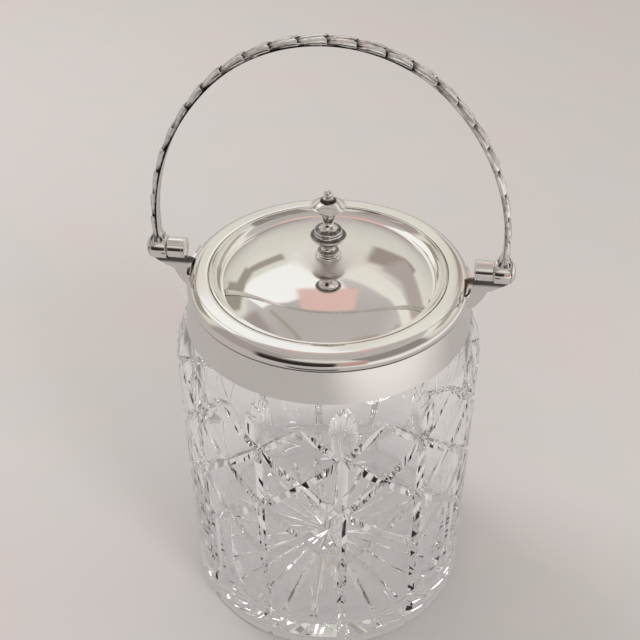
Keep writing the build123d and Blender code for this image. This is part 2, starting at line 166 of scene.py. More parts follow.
leaf_base_lift = 0.3
leaf_root_height = 1.75
leaf_tip_height = 2.35
leaf_root_width = 5.4
leaf_tip_width = 6.4
leaf_notch = 3.0
foot_petals = 10
foot_petal_hollow = 0.13
foot_squareness = 0.6
foot_middle = 0.35

# ------------------------------------------------------------- derived places
shoulder_centre = jar_radius - shoulder_round
neck_bore = neck_radius - neck_wall
neck_root = body_height + sqrt(shoulder_round**2 - (neck_radius - shoulder_centre)**2)
glass_height = neck_root + neck_height
first_crossing = body_height - crossing_drop
wedge_turn = pattern_turn - 90 - 180 / panels
star_turn = (90 - wedge_turn) % (360 / star_rays)
mouth_radius = neck_bore - mouth_inset
flange_radius = neck_radius + flange_overhang
seat_top = glass_height + lip_bed + bezel_sheet
flange_top = seat_top + lid_recess_depth + lid_floor
rim_centre = (flange_radius - rim_round, flange_top - rim_round)
waist_height = rim_centre[1] - rim_tuck
waist_radius = rim_centre[0] + sqrt(rim_round**2 - rim_tuck**2) - waist_step
collar_foot = flange_top - collar_depth
lid_radius = mouth_radius - lid_gap
pivot_height = flange_top + pivot_rise
knuckle_start = flange_radius + knuckle_rim_gap
knuckle_split = knuckle_start + fixed_knuckle_length
handle_knuckle_start = knuckle_split + knuckle_gap
handle_knuckle_end = handle_knuckle_start + handle_knuckle_length
handle_half_span = handle_knuckle_start + handle_knuckle_length / 2
arch_height = pivot_height + handle_leg_rise
side_centre = handle_half_span - handle_side_radius
crown_height = arch_height - side_centre * tan(radians(handle_side_angle))
crown_radius = handle_side_radius + side_centre / cos(radians(handle_side_angle))
side_run = radians(handle_side_angle) * handle_side_radius
crown_run = 2 * radians(90 - handle_side_angle) * crown_radius
handle_run = 2 * (handle_leg_rise + side_run) + crown_run
first_leaf = handle_knuckle_radius + first_leaf_gap
leaf_pitch = (handle_run - 2 * first_leaf) / leaf_count
leaf_base = -strap_thickness / 2 + leaf_base_lift

# Heights of the finial's parts, from its foot up.
finial_foot = flange_top + dome_top
base_top = finial_foot + finial_base_height
groove_top = base_top + finial_groove_height
small_ring_top = groove_top + finial_small_ring_thickness
cup_foot = small_ring_top + finial_lower_neck_height
cup_top = cup_foot + finial_cup_height
ring_top = cup_top + finial_ring_thickness
ring_collar_top = ring_top + finial_collar_height
bell_foot = ring_collar_top + finial_upper_neck_height
bell_top = bell_foot + finial_bell_height
cap_top = bell_top + finial_cap_thickness
button_top = cap_top + finial_button_rise


def glass_radius_at(height):
    above = max(0.0, height - body_height)
    return shoulder_centre + sqrt(shoulder_round**2 - above**2)


collar_foot_radius = glass_radius_at(collar_foot) + collar_glass_gap + sheet

# ------------------------------------------------------------ workshop helpers
# In metres: points nearer than this are one, and so are those where two panels meet.
weld_gap = 2e-6
panel_seam_gap = 4e-6


def clear_bench():
    """Object mode with nothing selected."""
    if bpy.context.object and bpy.context.object.mode != "OBJECT":
        bpy.ops.object.mode_set(mode="OBJECT")
    bpy.ops.object.select_all(action="DESELECT")


def pick(piece):
    clear_bench()
    piece.select_set(True)
    bpy.context.view_layer.objects.active = piece


def take_all():
    bpy.ops.mesh.select_all(action="SELECT")


def take_edges():
    bpy.ops.mesh.select_mode(type="EDGE")
    take_all()


def open_up(piece):
    """Edit mode with all of the piece selected."""
    pick(piece)
    bpy.ops.object.mode_set(mode="EDIT")
    take_all()


def pick_faces(piece, wanted):
    """Edit mode with only the faces for which wanted(face) holds."""
    pick(piece)
    bpy.ops.object.mode_set(mode="EDIT")
    bpy.ops.mesh.select_mode(type="FACE")
    bpy.ops.mesh.select_all(action="DESELECT")
    bpy.ops.object.mode_set(mode="OBJECT")
    for face in piece.data.polygons:
        face.select = wanted(face)
    bpy.ops.object.mode_set(mode="EDIT")


def weld():
    take_all()
    bpy.ops.mesh.remove_doubles(threshold=weld_gap)
    take_all()


def face_outwards():
    take_all()
    bpy.ops.mesh.normals_make_consistent(inside=False)
    clear_bench()


def rest_on_origin(piece):
    """Puts the piece's place into its mesh, so its object sits at the origin."""
    pick(piece)
    bpy.ops.object.transform_apply(location=True, rotation=True, scale=True)


def smooth(piece, angle):
    pick(piece)
    bpy.ops.object.shade_smooth_by_angle(angle=radians(angle))


def joined(pieces):
    clear_bench()
    for piece in pieces:
        piece.select_set(True)
    bpy.context.view_layer.objects.active = pieces[0]
    bpy.ops.object.join()
    return bpy.context.object


def apply_modifier(piece, kind, **settings):
    pick(piece)
    bpy.ops.object.modifier_add(type=kind)
    modifier = piece.modifiers[-1]
    for name, value in settings.items():
        setattr(modifier, name, value)
    bpy.ops.object.modifier_apply(modifier=modifier.name)


def dress(piece, finish):
    piece.data.materials.clear()
    piece.data.materials.append(finish)


def finish_piece(piece, name, body, slot, finish, *old_nodes):
    piece.name = piece.data.name = name
    dress(piece, finish)
    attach(piece, body)
    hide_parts(*old_nodes)


def arc(centre, radius, start, end, steps):
    """Points along a circle in section, angles in degrees, both ends included."""
    turns = [radians(start + (end - start) * step / steps) for step in range(steps + 1)]
    return [(centre[0] + radius * cos(turn), centre[1] + radius * sin(turn)) for turn in turns]


def bow(start, via, end, steps):
    """Points along the arc through three points, without its start."""
    (ax, ay), (bx, by), (cx, cy) = start, via, end
    bend = 2 * (ax * (by - cy) + bx * (cy - ay) + cx * (ay - by))
    if abs(bend) < 1e-9:
        return [via, end]
    a, b, c = ax**2 + ay**2, bx**2 + by**2, cx**2 + cy**2
    ux = (a * (by - cy) + b * (cy - ay) + c * (ay - by)) / bend
    uy = (a * (cx - bx) + b * (ax - cx) + c * (bx - ax)) / bend
    radius = hypot(ax - ux, ay - uy)
    first = atan2(ay - uy, ax - ux)
    middle = (atan2(by - uy, bx - ux) - first) % (2 * pi)
    last = (atan2(cy - uy, cx - ux) - first) % (2 * pi)
    if middle > last:
        last -= 2 * pi
    turns = [first + last * step / steps for step in range(1, steps + 1)]
    return [(ux + radius * cos(turn), uy + radius * sin(turn)) for turn in turns]


def bowed(start, end, lift, steps):
    """Points along an arc to end, its middle this far to the left of the straight line."""
    run = (end[0] - start[0], end[1] - start[1])
    share = lift / hypot(*run)
    middle = ((start[0] + end[0]) / 2 - run[1] * share, (start[1] + end[1]) / 2 + run[0] * share)
    return bow(start, middle, end, steps)


def drawn_line(name, points, closed=True):
    """A line drawn point by point in space, left open in edit mode, all selected."""
    clear_bench()
    bpy.ops.mesh.primitive_plane_add(size=MM)
    piece = bpy.context.object
    piece.name = name
    bpy.ops.object.mode_set(mode="EDIT")
    bpy.ops.mesh.select_mode(type="VERT")
    take_all()
    bpy.ops.mesh.merge(type="CENTER")
    bpy.ops.transform.translate(value=Vector(points[0]) * MM)
    here = points[0]
    for point in list(points[1:]) + ([points[0]] if closed else []):
        step = (Vector(point) - Vector(here)) * MM
        bpy.ops.mesh.extrude_vertices_move(TRANSFORM_OT_translate={"value": step})
        here = point
    weld()
    return piece


def drawn_section(name, points):
    """A closed section drawn in the XZ plane from (x, z) points."""
    return drawn_line(name, [(x, 0, z) for x, z in points])


def turned(name, points, steps, axis=(0, 0, 1), height=0.0):
    """Piece turned about an axis through the jar's middle from a closed section."""
    piece = drawn_section(name, points)
    bpy.ops.mesh.spin(steps=steps, angle=2 * pi, center=(0, 0, height * MM), axis=axis)
    weld()
    face_outwards()
    return piece


# ------------------------------------------------------------- finish helpers
def feed(tree, node, inputs):
    """Gives each named input a number, a colour or another node's output."""
    for name, value in inputs.items():
        if isinstance(value, bpy.types.NodeSocket):
            tree.links.new(value, node.inputs[name])
        else:
            node.inputs[name].default_value = value


def add_node(tree, kind, inputs=None, **settings):
    node = tree.nodes.new("ShaderNode" + kind)
    for name, value in settings.items():
        setattr(node, name, value)
    feed(tree, node, inputs or {})
    return node


def new_finish(name, inputs=None):
    """A material, its nodes and its shader, ready for what gives it its grain."""
    finish = bpy.data.materials.new(name)
    finish.use_nodes = True
    tree = finish.node_tree
    shader = tree.nodes["Principled BSDF"]
    feed(tree, shader, inputs or {})
    return finish, tree, shader


def on_object(tree):
    return add_node(tree, "TexCoord").outputs["Object"]


def parts_of(tree, vector):
    return add_node(tree, "SeparateXYZ", {"Vector": vector}).outputs


def maths(tree, operation, first, second=0.0, clamp=False):
    """Two values combined; each is a socket or a number."""
    inputs = {0: first, 1: second}
    return add_node(tree, "Math", inputs, operation=operation, use_clamp=clamp).outputs["Value"]


def scaled(tree, value, factor, offset=0.0):
    return maths(tree, "ADD", maths(tree, "MULTIPLY", value, factor), offset)


def measured(tree, operation, *vectors):
    """A number worked out from vectors, such as a length."""
    inputs = dict(enumerate(vectors))
    return add_node(tree, "VectorMath", inputs, operation=operation).outputs["Value"]


def ranged(tree, value, start, end, low=0.0, high=1.0, curve="LINEAR"):
    """low at start and high at end."""
    inputs = {"Value": value, "From Min": start, "From Max": end, "To Min": low, "To Max": high}
    return add_node(tree, "MapRange", inputs, interpolation_type=curve).outputs["Result"]


def eased(tree, value, start, end):
    """0 at start and 1 at end, softly."""
    return ranged(tree, value, start, end, curve="SMOOTHSTEP")


def noise(tree, place, scale, detail):
    inputs = {"Vector": place, "Scale": scale, "Detail": detail}
    return add_node(tree, "TexNoise", inputs).outputs["Fac"]


def tones(tree, value, *stops):
    """Colours that change with value; each stop is (value, colour)."""
    ramp = add_node(tree, "ValToRGB", {"Fac": value})
    elements = ramp.color_ramp.elements
    for element, (position, colour) in zip(elements, (stops[0], stops[-1])):
        element.position = position
        element.color = (*colour, 1)
    for position, colour in stops[1:-1]:
        elements.new(position).color = (*colour, 1)
    return ramp.outputs["Color"]


def tinted(tree, share, below, colour):
    """The colour below with this share of another over it."""
    inputs = {"Factor": share, "A": below, "B": (*colour, 1)}
    return add_node(tree, "Mix", inputs, data_type="RGBA").outputs["Result"]


def rippled(tree, shader, height, strength, distance):
    inputs = {"Strength": strength, "Distance": distance, "Height": height}
    feed(tree, shader, {"Normal": add_node(tree, "Bump", inputs).outputs["Normal"]})


def seen_by_rays(finish, share, own, glow):
    """Lays this share of a glow over the own shader of a surface, without lighting anything."""
    tree = finish.node_tree
    mix = add_node(tree, "MixShader", {"Fac": share, 1: own.outputs[0], 2: glow.outputs[0]})
    feed(tree, tree.nodes["Material Output"], {"Surface": mix.outputs["Shader"]})
    finish.cycles.emission_sampling = "NONE"


# ------------------------------------------------------------------- finishes
bright_silver = (0.93, 0.915, 0.885)
worked_silver = (0.92, 0.905, 0.87)
shaded_silver = (0.90, 0.885, 0.86)
raw_silver = (0.85, 0.83, 0.79)
# Near black of the painted shade lines in the silver's creases and under its edges.
painted_shade_colour = (0.045, 0.035, 0.032)
# Near black of the handle's recesses: partly oxide and partly painted shade.
oxide_and_shade_colour = (0.03, 0.026, 0.024)
bloom_scale, wipe_scale, wave_scale = 45, 900, 22
bloom_shade = 0.94
grain_low, grain_high = 0.3, 0.7
wiped_smooth, wiped_rough = 0.7, 1.4
# Share of a painted shade line's reach that is fully dark.
painted_shade_core = 0.35
vein_scale, stain_scale = (160, 2200, 1), 600
vein_share = 1.5
leaf_roughness, recess_roughness = 0.12, 0.55
glass_ior = 1.54


def polished_silver(name, colour, roughness, ripple, painted_shade_lines=(), dull=None):
    """Hand-polished silver: broad ripples from spinning, fine wiping marks, faint bloom.

    The lines of painted shade, listed as (height, reach, strength), darken creases and under
    edges as painted shade and painted reflection, and dull is (radius, reach, roughness) of the
    less polished ring round the middle.
    """
    finish, tree, shader = new_finish(name, {"Metallic": 1.0})
    place = on_object(tree)
    bloom = noise(tree, place, bloom_scale, 5)
    wipe = noise(tree, place, wipe_scale, 3)
    wave = noise(tree, place, wave_scale, 1)
    bloomed = [channel * bloom_shade for channel in colour]
    shown = tones(tree, bloom, (grain_low, bloomed), (grain_high, colour))
    roughened = ranged(tree, wipe, grain_low, grain_high,
                       roughness * wiped_smooth, roughness * wiped_rough)
    east, north, up = parts_of(tree, place)
    # Painted shade: each line darkens the colour towards near black round its height.
    for height, reach, strength in painted_shade_lines:
        away = maths(tree, "ABSOLUTE", maths(tree, "SUBTRACT", up, height * MM))
        painted_band = eased(tree, away, reach * MM, reach * painted_shade_core * MM)
        shown = tinted(tree, maths(tree, "MULTIPLY", painted_band, strength), shown, painted_shade_colour)
    if dull:
        radius, reach, most = dull
        flat = add_node(tree, "CombineXYZ", {"X": east, "Y": north}).outputs["Vector"]
        near = eased(tree, measured(tree, "LENGTH", flat), (radius + reach) * MM, radius * MM)
        roughened = maths(tree, "ADD", roughened, maths(tree, "MULTIPLY", near, most))
    feed(tree, shader, {"Base Color": shown, "Roughness": roughened})
    rippled(tree, shader, wave, ripple, MM)
    return finish


def chased_leaf_silver():
    """Silver that is bright on the leaves, veined along them, with oxide and painted shade in the
    recesses and painted shade along the leaves' sides.
    """
    finish, tree, shader = new_finish("chased silver", {"Metallic": 1.0})
    # The recess attribute holds each point's oxide and painted shade.
    recess = add_node(tree, "Attribute", attribute_name="recess").outputs["Fac"]
    chased = add_node(tree, "Attribute", attribute_name="chased").outputs["Fac"]
    run = add_node(tree, "UVMap", uv_map="leaf_run").outputs["UV"]
    stretched = add_node(tree, "Mapping", {"Vector": run, "Scale": vein_scale})
    vein = noise(tree, stretched.outputs["Vector"], 1, 2)
    stain = noise(tree, on_object(tree), stain_scale, 4)
    streaky = maths(tree, "MULTIPLY", maths(tree, "SUBTRACT", vein, 0.5), vein_share)
    patchy = maths(tree, "ADD", maths(tree, "SUBTRACT", stain, 0.5), streaky)
    patchy = maths(tree, "MULTIPLY", patchy, chased)
    dark = maths(tree, "ADD", recess, patchy, clamp=True)
    colour = tones(tree, dark, (0.1, shaded_silver), (0.75, oxide_and_shade_colour))
    rough = ranged(tree, dark, 0, 1, leaf_roughness, recess_roughness)
    feed(tree, shader, {"Base Color": colour, "Roughness": rough})
    rippled(tree, shader, vein, strength=0.5, distance=0.25 * MM)
    return finish


def crystal():
    """Clear cut glass with the faintest drawn ripples from blowing."""
    finish, tree, shader = new_finish("cut glass", {
        "Base Color": (0.985, 0.99, 0.988, 1), "Roughness": 0.0, "IOR": glass_ior,
        "Transmission Weight": 1.0})
    drawn = noise(tree, on_object(tree), 30, 1)
    rippled(tree, shader, drawn, strength=0.12, distance=MM)
    return finish


def plaster():
    finish, tree, shader = new_finish("neck plaster", {"Roughness": 0.9})
    grit = noise(tree, on_object(tree), 400, 6)
    colour = tones(tree, grit, (0.0, (0.55, 0.52, 0.46)), (1.0, (0.78, 0.75, 0.69)))
    feed(tree, shader, {"Base Color": colour})
    return finish


# Painted shade and painted reflection as dark lines in creases and under edges: height, reach and
# strength.
waist_painted_shade = [(waist_height + 0.15, 0.9, 0.9)]
web_painted_shade = [(pivot_height - fixed_knuckle_radius - 1.0, 2.2, 0.9)]
finial_painted_shade = [
    (button_top + 0.75, 0.95, 0.97),
    (bell_top - 0.45, 0.65, 0.8),
    (ring_collar_top + 0.1, 0.4, 0.8),
    (ring_top + 0.1, 0.4, 0.85),
    (cup_top - 0.3, 0.6, 0.8),
    (small_ring_top + 0.15, 0.4, 0.7),
    ((base_top + groove_top) / 2, 0.5, 0.85),
]
mirror_silver = polished_silver("mirror silver", bright_silver, 0.06, 0.05, waist_painted_shade)
lid_silver = polished_silver("lid silver", bright_silver, 0.05, 0.05, dull=(8.0, 9.0, 0.34))
finial_silver = polished_silver("finial silver", worked_silver, 0.06, 0.02, finial_painted_shade)
web_silver = polished_silver("web silver", shaded_silver, 0.16, 0.03, web_painted_shade)
turned_silver = polished_silver("turned silver", worked_silver, 0.07, 0.02)
inner_silver = polished_silver("inner silver", raw_silver, 0.25, 0.1)
chased_silver = chased_leaf_silver()
clear_crystal = crystal()
neck_plaster = plaster()


# ------------------------------------------------------------------ cut glass
def blank_section():
    """Half-section of the blown blank, from the middle of the base round to the floor."""
    inner_round = shoulder_round - jar_wall
    inner_radius = jar_radius - jar_wall
    centre = (shoulder_centre, body_height)
    neck_angle = degrees(acos((neck_radius - centre[0]) / shoulder_round))
    bore_angle = degrees(acos((neck_bore - centre[0]) / inner_round))
    ring_inside = jar_radius - foot_bevel - foot_ring_width
    corner = (inner_radius - floor_round, floor_thickness + floor_round)
    points = [(0, foot_hollow), (ring_inside, foot_hollow), (ring_inside + foot_hollow, 0),
              (jar_radius - foot_bevel, 0), (jar_radius, foot_bevel)]
    points += arc(centre, shoulder_round, 0, neck_angle, 14)
    points += [(neck_radius, glass_height), (neck_bore, glass_height)]
    points += arc(centre, inner_round, bore_angle, 0, 12)
    points += arc(corner, floor_round, 0, -90, 8)
    return points + [(0, floor_thickness)]


def on_panel(turn, height, depth):
    radius = glass_radius_at(height) - depth
    return Vector((radius * cos(radians(turn)), radius * sin(radians(turn)), height))


def wheel_cut(start, end, outward=None, overrun=0, wheel=jar_wall, sides=4):
    """A bar whose lowest line runs from start to end: square for a mitre, round for an olive."""
    along = (end - start).normalized()
    middle = (start + end) / 2
    if outward is None:
        outward = Vector((middle.x, middle.y, 0)).normalized()
    outward = (outward - along * outward.dot(along)).normalized()
    bpy.ops.mesh.primitive_cylinder_add(
        vertices=sides, radius=wheel * MM, depth=((end - start).length + 2 * overrun) * MM)
    bar = bpy.context.object
    turn = Matrix((outward, along.cross(outward), along)).transposed().to_4x4()
    bar.matrix_world = Matrix.Translation((middle + outward * wheel) * MM) @ turn
    return bar


def panel_cuts():
    """Every wheel cut that reaches one panel; its upright mitre stands half a panel round."""
    half = 180 / panels
    cuts = []
    for turn in (-3 * half, -half, half):
        keel = on_panel(turn, first_crossing, upright_depth)
        cuts.append(wheel_cut(on_panel(turn, -foot_bevel, upright_depth), keel))
        cuts.append(wheel_cut(keel, on_panel(turn, first_crossing + mitre_runout, 0)))
        for way in (-1, 1):
            for row in range(diagonal_rows):
                upper = first_crossing + row_step * (1 - row)
                start_depth = 0 if row == 0 else diagonal_depth
                begin = turn + (half if row % 2 == 0 else 0) * way
                finish = turn + (0 if row % 2 == 0 else half) * way
                cuts.append(wheel_cut(
                    on_panel(begin, upper, start_depth),
                    on_panel(finish, upper - row_step, diagonal_depth), overrun=mitre_overrun))
        low = on_panel(turn, first_crossing, 0)
        high = on_panel(turn, first_crossing + olive_length_up, 0)
        radial = Vector((cos(radians(turn)), sin(radians(turn)), 0))
        cuts.append(wheel_cut(low, high, radial, wheel=olive_wheel_radius, sides=96))
    for ray in range(star_rays // 2):
        turn = radians(360 * ray / star_rays + star_turn)
        reach = Vector((cos(turn), sin(turn), 0)) * star_radius
        keel = Vector((0, 0, foot_hollow + star_depth))
        cuts.append(wheel_cut(keel - reach, keel + reach, Vector((0, 0, -1))))
    return cuts


def make_cut_glass():
    """One panel is cut from its wedge of the blank, then set round the jar."""
    wedge = drawn_section("cut_glass", blank_section())
    bpy.ops.mesh.edge_face_add()
    take_all()
    bpy.ops.mesh.spin(steps=30, angle=2 * pi / panels, center=(0, 0, 0), axis=(0, 0, 1))
    weld()
    face_outwards()
    cutter = joined(panel_cuts())
    apply_modifier(wedge, "BOOLEAN", operation="DIFFERENCE", solver="EXACT", use_self=True,
                   object=cutter)
    bpy.data.objects.remove(cutter)
    open_up(wedge)
    bpy.ops.mesh.quads_convert_to_tris()
    bpy.ops.mesh.remove_doubles(threshold=weld_gap / 2)
    sides = [Vector((sin(turn), cos(turn), 0)) for turn in (0, 2 * pi / panels)]
    pick_faces(wedge, lambda face: any(
        abs(face.normal.dot(side)) > 0.999 and abs(face.center.dot(side)) < weld_gap
        for side in sides))
    bpy.ops.mesh.delete(type="FACE")
    take_all()
    bpy.ops.mesh.spin(steps=panels - 1, angle=2 * pi * (panels - 1) / panels, dupli=True,
                      center=(0, 0, 0), axis=(0, 0, 1))
    bpy.ops.mesh.select_mode(type="VERT")
    bpy.ops.mesh.select_all(action="DESELECT")
    bpy.ops.mesh.select_non_manifold(extend=False, use_wire=False, use_multi_face=False,
                                     use_non_contiguous=False, use_verts=False)
    bpy.ops.mesh.remove_doubles(threshold=panel_seam_gap)
    face_outwards()
    wedge.rotation_euler.z = radians(wedge_turn)
    rest_on_origin(wedge)
    smooth(wedge, 20)
    finish_piece(wedge, "cut_glass", "jar", "cut_glass", clear_crystal, "glass_jar")


# -------------------------------------------------------------- silver mount
def make_collar():
    """Collar with a rounded rim that flattens softly into the flange."""
    low = -degrees(asin(rim_tuck / rim_round))
    inside = rim_round - sheet
    points = [(collar_foot_radius, collar_foot), (waist_radius, waist_height)]
    points += arc(rim_centre, rim_round, low, rim_ease_turn, 24)
    run = points[-1][0] - rim_ease_radius
    drop = flange_top - points[-1][1]
    steepness = run / tan(radians(rim_ease_turn)) / drop
    points += [(rim_ease_radius + run * share, flange_top - drop * share**steepness)
               for share in (0.95, 0.88, 0.8, 0.7, 0.6, 0.5, 0.35, 0.0)]
    points += arc((mouth_radius + edge_round, flange_top - edge_round), edge_round, 90, 180, 4)
    points += [(mouth_radius, flange_top - sheet)]
    points += arc(rim_centre, inside, 90, 0, 10)
    points += [(waist_radius - sheet, waist_height), (collar_foot_radius - sheet, collar_foot)]
    collar = turned("silver_collar", points, 240)
    smooth(collar, 30)
    finish_piece(collar, "silver_collar", "jar", "silver", mirror_silver, "collar_mount")


def make_lid():
    """Cushion-shaped dome with a hollow moulding round it and a thin lip."""
    lip = lid_radius - lid_lip
    dome_radius = lip - lid_recess_width
    recess = flange_top - lid_recess_depth
    top = finial_foot
    cove = (dome_radius + lid_recess_width * 0.35 * 1.4, recess + lid_recess_depth * 0.22)
    knee_run = dome_knee_radius - dome_seat_radius
    knee_height = top - dome_crown_round + sqrt(dome_crown_round**2 - knee_run**2)
    knee_slope = knee_run / sqrt(dome_crown_round**2 - knee_run**2)
    skirt_run = dome_radius - dome_knee_radius
    steepening = (knee_height - recess - knee_slope * skirt_run) / skirt_run**2

    def dome_at(radius):
        """Height and slope of the dome: a shallow crown that steepens past its knee."""
        if radius <= dome_knee_radius:
            reach = radius - dome_seat_radius
            height = sqrt(dome_crown_round**2 - reach**2)
            return top - dome_crown_round + height, reach / height
        past = radius - dome_knee_radius
        return (knee_height - knee_slope * past - steepening * past**2,
                knee_slope + 2 * steepening * past)

    steps = 34
    outer = [dome_seat_radius + (dome_radius - dome_seat_radius) * step / steps
             for step in range(steps + 1)]
    under = []
    for radius in outer:
        height, slope = dome_at(radius)
        away = sheet / sqrt(1 + slope**2)
        if height - away > seat_top + lid_seat_gap:
            under.append((radius - away * slope, height - away))
    points = [(stud_radius + stud_clearance, top)]
    points += [(radius, dome_at(radius)[0]) for radius in outer]
    points += bow((dome_radius, recess), cove, (lip, flange_top), 10)[1:]
    points += arc((lid_radius - edge_round, flange_top - edge_round), edge_round, 90, 0, 4)
    points += [(lid_radius, seat_top), (under[-1][0], seat_top)]
    points += reversed(under)
    points += [(stud_radius + stud_clearance, top - sheet)]
    lid = turned("silver_lid", points, 240)
    smooth(lid, 30)
    finish_piece(lid, "silver_lid", "lid", "silver", lid_silver, "lid_plate")


def make_finial():
    """Turned finial: two rings, a bell-shaped cap, a button and a bead on top."""
    half_edge = finial_edge / 2
    small_edge = finial_small_ring_radius - finial_edge
    ring_edge = finial_ring_radius - finial_edge
    collar_edge = finial_collar_radius - finial_edge
    cap_edge = finial_cap_radius - finial_edge
    cup_swell = (ring_edge - finial_lower_neck_radius) * 0.54
    neck_swell = (collar_edge - finial_upper_neck_radius) * 0.25
    bell_swell = (cap_edge - finial_upper_neck_radius) * 0.28
    bead = arc((0, cap_top + finial_bead_rise), finial_bead_radius, -58, 90, 16)
    points = [(stud_radius, finial_foot), (finial_base_radius, finial_foot)]
    # Each part is an arc through a point to its end.
    for via, end in (
        ((finial_base_radius + half_edge, (finial_foot + base_top) / 2),
         (finial_base_radius - half_edge, base_top)),
        ((finial_groove_radius, (base_top + groove_top) / 2), (small_edge, groove_top)),
        ((finial_small_ring_radius, (groove_top + small_ring_top) / 2),
         (small_edge, small_ring_top)),
        ((finial_lower_neck_radius, small_ring_top + finial_lower_neck_height * 0.43),
         (finial_lower_neck_radius, cup_foot)),
        ((finial_lower_neck_radius + cup_swell, cup_foot + finial_cup_height * 0.4),
         (ring_edge, cup_top)),
        ((finial_ring_radius, (cup_top + ring_top) / 2), (ring_edge, ring_top)),
        ((finial_collar_radius - 0.05, ring_top + finial_collar_height * 0.25),
         (finial_collar_radius, ring_top + finial_collar_height * 0.65)),
        ((finial_collar_radius - 0.12, ring_top + finial_collar_height * 0.85),
         (collar_edge, ring_collar_top)),
        ((finial_upper_neck_radius + neck_swell,
          ring_collar_top + finial_upper_neck_height * 0.33),
         (finial_upper_neck_radius, bell_foot)),
        ((finial_upper_neck_radius + bell_swell, bell_foot + finial_bell_height / 2),
         (cap_edge, bell_top)),
        ((finial_cap_radius, (bell_top + cap_top) / 2), (cap_edge, cap_top)),
        (((cap_edge + finial_button_radius) / 2, cap_top + finial_button_rise * 0.62),
         (finial_button_radius, button_top)),
        ((finial_button_radius * 0.8, (button_top + bead[0][1]) / 2 + 0.3), bead[0]),
    ):
        points += bow(points[-1], via, end, 10)
    points += bead[1:]
    points += [(0, finial_foot + stud_in_finial), (stud_radius, finial_foot + stud_in_finial)]
    finial = turned("silver_finial", points, 96)
    smooth(finial, 35)
    finish_piece(finial, "silver_finial", "lid", "silver", finial_silver, "finial")


# ------------------------------------------------------- pivots and brackets
# Outline of a barrel at each of its ends: place from that end, and depth below its radius.
fixed_barrel_ends = (
    [(0, 0.6), (0.12, 0.25), (0.4, 0), (0.9, 0), (1.1, 0.2), (1.25, 0.2), (1.4, 0.06)],
    [(-0.45, 0.06), (-0.12, 0.3), (0, 0.65)])
moving_barrel_ends = (
    [(0, 0.55), (0.12, 0.2), (0.45, 0)],
    [(-0.6, 0), (-0.2, 0.16), (0, 0.5)])


def barrel_outline(low, high, radius, bore, ends):
    points = [(end + place, radius - depth)
              for end, outline in zip((low, high), ends) for place, depth in outline]
    return [(low, bore)] + points + [(high, bore)]


def make_pivot(side, name):
    """Knuckles and rivet pin of one side; side is 1 for the right and -1 for the left."""
    def on_pivot(piece_name, body, old_node, points):
        section = [(side * x, pivot_height + radius) for x, radius in points]
        piece = turned("pivot", section, 72, (1, 0, 0), pivot_height)
        smooth(piece, 35)
        finish_piece(piece, name + piece_name, body, "silver", turned_silver, name + old_node)

    on_pivot("_fixed_barrel", "jar", "_fixed_knuckle", barrel_outline(
        knuckle_start, knuckle_split, fixed_knuckle_radius, pin_radius, fixed_barrel_ends))
    on_pivot("_moving_barrel", "handle", "_handle_knuckle", barrel_outline(
        handle_knuckle_start, handle_knuckle_end, handle_knuckle_radius,
        pin_radius + pin_running_fit, moving_barrel_ends))
    head = handle_knuckle_end + pin_head_gap
    dome = bow((head + pin_head_edge, pin_head_radius),
               (head + pin_head_height * 0.72, pin_head_radius * 0.62),
               (head + pin_head_height, 0), 12)
    on_pivot("_rivet", "jar", "_pivot_pin", [
        (knuckle_start, 0), (knuckle_start, pin_radius), (head, pin_radius),
        (head, pin_head_radius - 0.15), (head + 0.1, pin_head_radius),
        (head + pin_head_edge, pin_head_radius), *dome])


def make_web(side, name):
    """Upright web under the knuckles: a tapered arm on a rounded foot, its edges eased."""
    arm_top = pivot_height - handle_knuckle_radius - web_gap
    into_knuckle = pivot_height - fixed_knuckle_radius + web_in_knuckle
    tip = (handle_knuckle_end, arm_top)
    notch = (flange_radius + web_notch_out, flange_top - web_notch_drop)
    toe = (flange_radius + web_toe_out, flange_top - web_toe_drop)
    inner = rim_centre[0] + web_in_rim
    points = [(inner, flange_top - web_in_rim),
              (flange_radius - web_in_rim, flange_top + web_over_flange),
              (knuckle_start + web_top_out, into_knuckle), (knuckle_split, into_knuckle),
              (knuckle_split, arm_top), tip]
    points += bowed(tip, notch, web_arm_sag, 8)
    points += bowed(notch, toe, web_foot_belly, 10)
    points += [(inner, toe[1] + web_toe_rise)]
    web = drawn_line("web", [(side * x, -web_thickness / 2, z) for x, z in points])
    bpy.ops.mesh.edge_face_add()
    take_all()
    bpy.ops.mesh.extrude_region_move(
        TRANSFORM_OT_translate={"value": (0, web_thickness * MM, 0)})
    face_outwards()
    pick_faces(web, lambda face: abs(face.normal.y) > 0.9)
    bpy.ops.mesh.bevel(offset=web_edge_bevel * MM, segments=3, affect="EDGES")
    clear_bench()
    smooth(web, 40)
    finish_piece(web, name + "_web", "jar", "silver", web_silver, name + "_bracket_web")


# -------------------------------------------------------------------- handle
# A leaf across: share of its half-width, and of its height above the strap.
leaf_crown = [(0.0, 0.72), (0.07, 0.80), (0.2, 0.94), (0.4, 1.0), (0.6, 0.965), (0.78, 0.86),
              (0.92, 0.66), (1.0, 0.38)]
# A leaf along: share of its length, of its growth in height, and of its growth in width.
leaf_growth = [(0.02, -0.10, 0.0), (0.07, 0.02, 0.15), (0.22, 0.26, 0.45), (0.42, 0.55, 0.75),
               (0.62, 0.82, 0.92), (0.78, 0.96, 1.0), (0.89, 1.0, 1.0), (0.945, 0.95, 0.98),
               (0.975, 0.80, 0.94), (0.99, 0.45, 0.88), (1.0, 0.0, 0.0)]
# The calyx foot: place along the run, half its depth and half its width.
foot_stations = [(9.6, 1.18, 3.12), (8.4, 1.2, 3.14), (7.2, 1.35, 3.15), (6.2, 1.7, 3.15),
                 (5.3, 2.2, 3.15), (4.5, 2.75, 3.12), (3.3, 3.0, 3.05)]


